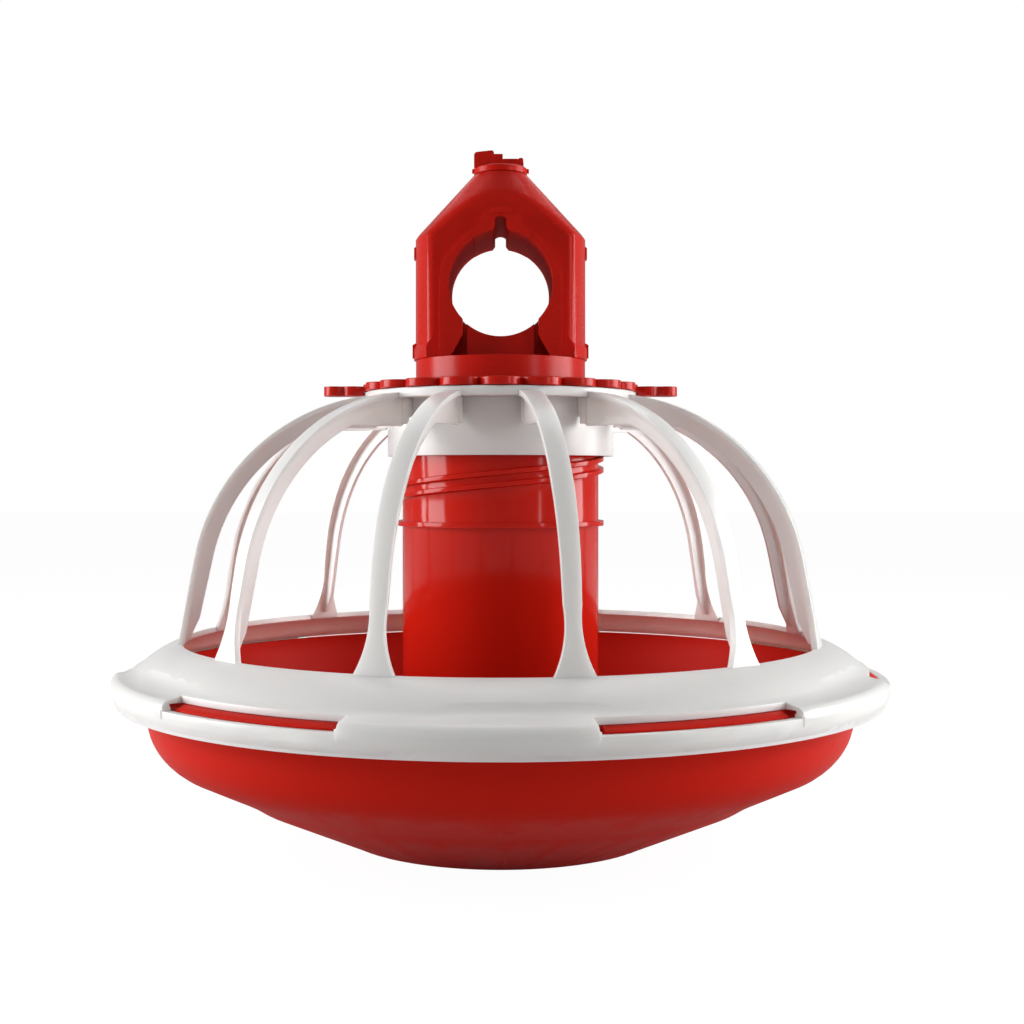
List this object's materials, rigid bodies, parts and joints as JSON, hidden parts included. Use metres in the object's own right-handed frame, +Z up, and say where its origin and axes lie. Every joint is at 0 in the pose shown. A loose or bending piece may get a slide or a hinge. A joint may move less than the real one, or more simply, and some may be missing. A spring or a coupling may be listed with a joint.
{
  "type": "poultry pan feeder",
  "caption": "Pan feeder for poultry that clips on a feed pipe, with a drop tube, a turning level ring, a spoked grille and a twist-off pan.",
  "frame": {"origin": "centre of the underside of the pan, where the feeder rests on a floor", "axes": "+Z up along the drop tube, +Y along the feed pipe away from the front, +X to the right seen from the front"},
  "size_m": [0.3474, 0.3482, 0.3117],
  "materials": {
    "hood_saddle_plastic": "glossy injection-moulded red plastic",
    "neck_cradle_plastic": "glossy injection-moulded red plastic",
    "lock_cap_plastic": "glossy injection-moulded red plastic",
    "level_ring_plastic": "glossy injection-moulded red plastic",
    "drop_tube_plastic": "glossy injection-moulded red plastic",
    "hub_plate_plastic": "glossy injection-moulded white plastic, faintly translucent",
    "grille_collar_plastic": "glossy injection-moulded white plastic, faintly translucent",
    "spoke_plastic": "glossy injection-moulded white plastic, faintly translucent",
    "grille_rim_plastic": "glossy injection-moulded white plastic, faintly translucent",
    "feed_pan_plastic": "glossy injection-moulded red plastic"
  },
  "bodies": {
    "head": {"hood_saddle": "hood_saddle_plastic", "neck_cradle": "neck_cradle_plastic"},
    "lock": {"lock_cap": "lock_cap_plastic"},
    "regulator": {"level_ring": "level_ring_plastic", "drop_tube": "drop_tube_plastic"},
    "grille": {"hub_plate": "hub_plate_plastic", "grille_collar": "grille_collar_plastic", "spoke_01": "spoke_plastic", "spoke_02": "spoke_plastic", "spoke_03": "spoke_plastic", "spoke_04": "spoke_plastic", "spoke_05": "spoke_plastic", "spoke_06": "spoke_plastic", "spoke_07": "spoke_plastic", "spoke_08": "spoke_plastic", "spoke_09": "spoke_plastic", "spoke_10": "spoke_plastic", "spoke_11": "spoke_plastic", "spoke_12": "spoke_plastic", "grille_rim": "grille_rim_plastic"},
    "pan": {"feed_pan": "feed_pan_plastic"}
  },
  "joints": [
    {"name": "lock_turn", "type": "hinge", "parent": "head", "child": "lock", "pos_m": [0, 0, 0.3045], "axis": [0, 0, 1], "range_deg": [0, 90]},
    {"name": "ring_turn", "type": "hinge", "parent": "head", "child": "regulator", "pos_m": [0, 0, 0.2], "axis": [0, 0, 1], "range_deg": [0, 360]},
    {"name": "grille_height", "type": "slide", "parent": "head", "child": "grille", "axis": [0, 0, 1], "range_m": [-0.027, 0]},
    {"name": "pan_turn", "type": "hinge", "parent": "grille", "child": "pan", "pos_m": [0, 0, 0.0725], "axis": [0, 0, 1], "range_deg": [0, 30]}
  ],
  "couplings": [
    {"joint": "grille_height", "follows": "ring_turn", "m_per_rad": -0.0042972}
  ]
}
